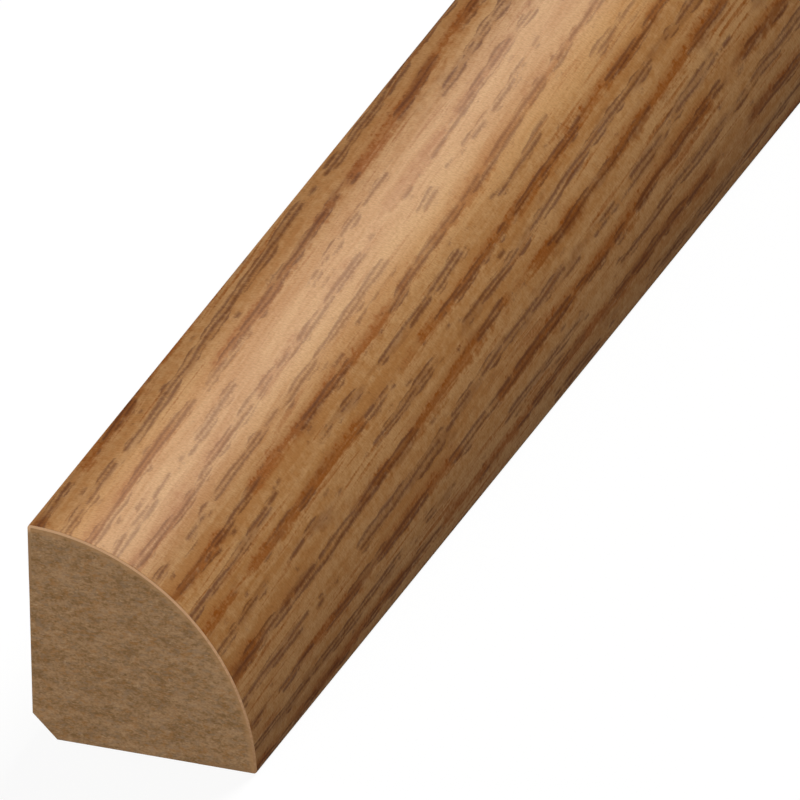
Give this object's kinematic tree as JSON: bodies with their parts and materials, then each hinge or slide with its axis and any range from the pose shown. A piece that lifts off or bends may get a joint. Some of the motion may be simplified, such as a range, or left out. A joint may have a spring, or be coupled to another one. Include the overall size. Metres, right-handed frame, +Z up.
{
  "type": "quarter round moulding",
  "caption": "Straight length of foil-wrapped quarter round trim that closes the gap between a floor and a skirting board.",
  "frame": {"origin": "middle of the bottom of the stock's box, on the floor face", "axes": "+X from the back face to the toe of the round, +Y along the stock, +Z up from the floor"},
  "size_m": [0.019, 2.3876, 0.019],
  "materials": {
    "fibreboard": "matte",
    "oak_decor_foil": "satin"
  },
  "bodies": {
    "root": {"fibreboard_core": "fibreboard", "decor_wrap": "oak_decor_foil"}
  },
  "joints": []
}
